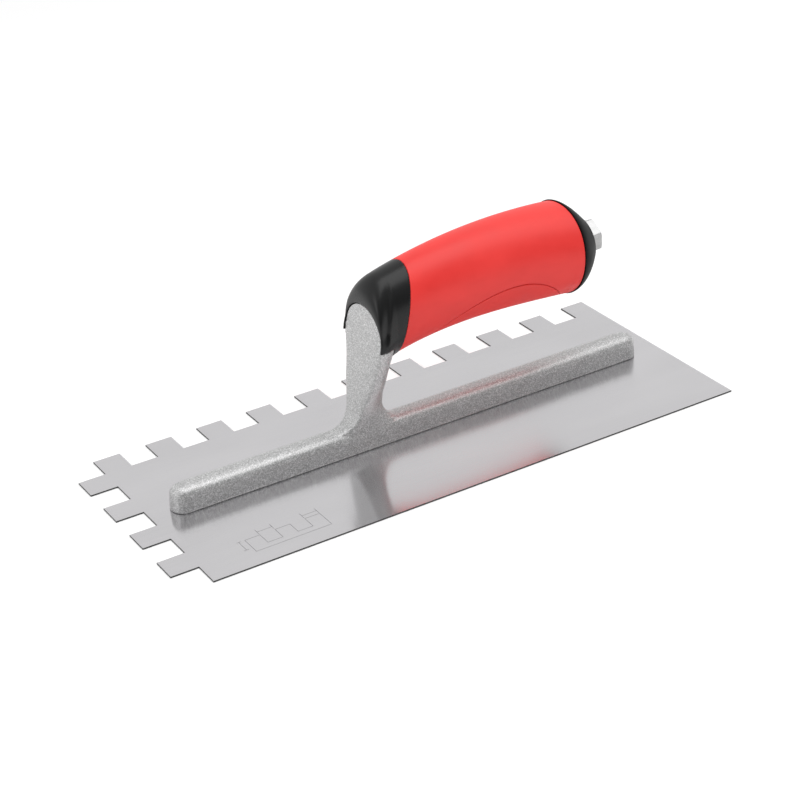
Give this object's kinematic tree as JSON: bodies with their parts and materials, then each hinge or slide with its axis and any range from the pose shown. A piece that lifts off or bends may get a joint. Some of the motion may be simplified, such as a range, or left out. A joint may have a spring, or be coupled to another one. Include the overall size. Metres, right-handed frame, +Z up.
{
  "type": "notched trowel",
  "caption": "Square-notch mortar trowel: thin stainless blade notched along its back edge and left end, cast aluminium mounting bar and post, and a soft two-colour handle held by a hex nut.",
  "frame": {"origin": "middle of the blade's underside, on the surface the trowel lies on", "axes": "+X along the blade towards the handle's nut, +Y towards the notched back edge, +Z up from the blade to the handle"},
  "size_m": [0.2794, 0.1142, 0.0897],
  "materials": {
    "blade_steel": "satin brushed stainless",
    "cast_aluminium": "sand cast and blasted, sparkling grain",
    "rivet_aluminium": "ground flush",
    "black_plastic": "satin moulded",
    "core_plastic": "matt moulded",
    "red_grip": "soft satin",
    "red_pad": "soft matt",
    "zinc_steel": "bright zinc plate"
  },
  "bodies": {
    "root": {"blade": "blade_steel", "mounting_casting": "cast_aluminium", "rivet_1": "rivet_aluminium", "rivet_2": "rivet_aluminium", "rivet_3": "rivet_aluminium", "rivet_4": "rivet_aluminium", "rivet_5": "rivet_aluminium", "rivet_6": "rivet_aluminium", "rivet_7": "rivet_aluminium", "rivet_8": "rivet_aluminium", "collar": "black_plastic", "handle_core": "core_plastic", "grip_sleeve": "red_grip", "palm_pad": "red_pad", "end_cap": "black_plastic", "threaded_rod": "zinc_steel", "flat_washer": "zinc_steel", "spring_washer": "zinc_steel", "hex_nut": "zinc_steel"}
  },
  "joints": []
}
